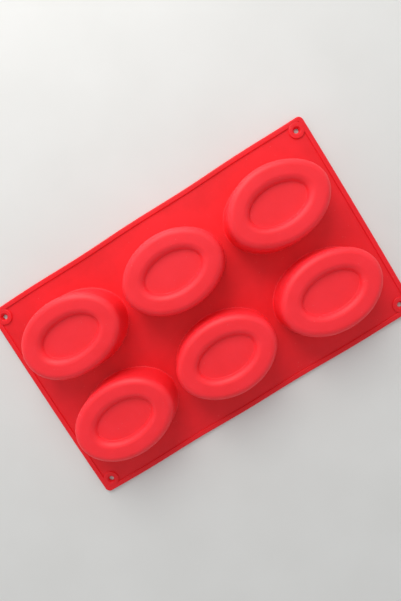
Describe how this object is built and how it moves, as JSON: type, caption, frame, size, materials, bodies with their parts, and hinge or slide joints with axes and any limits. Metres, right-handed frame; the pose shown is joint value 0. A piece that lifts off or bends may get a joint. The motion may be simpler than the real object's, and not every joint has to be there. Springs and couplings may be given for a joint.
{
  "type": "silicone soap mould",
  "caption": "Flexible silicone soap mould, lying face down: a flat beaded sheet with two rows of oval cavities, each with a raised oval panel in its floor, and corner eyelets.",
  "frame": {"origin": "middle of the open face, on the plane that the mould lies on", "axes": "+X along the long side, past three cavities; +Y along the short side, past two; +Z from the open face towards the backs of the cavities"},
  "size_m": [0.295, 0.179, 0.033],
  "materials": {
    "silicone": "satin red moulded silicone rubber"
  },
  "bodies": {
    "root": {"web_sheet": "silicone", "rim_bead": "silicone", "eyelet_front_left": "silicone", "eyelet_front_right": "silicone", "eyelet_back_left": "silicone", "eyelet_back_right": "silicone", "cavity_wall_front_left": "silicone", "cavity_floor_front_left": "silicone", "cavity_wall_front_middle": "silicone", "cavity_floor_front_middle": "silicone", "cavity_wall_front_right": "silicone", "cavity_floor_front_right": "silicone", "cavity_wall_back_left": "silicone", "cavity_floor_back_left": "silicone", "cavity_wall_back_middle": "silicone", "cavity_floor_back_middle": "silicone", "cavity_wall_back_right": "silicone", "cavity_floor_back_right": "silicone"}
  },
  "joints": []
}
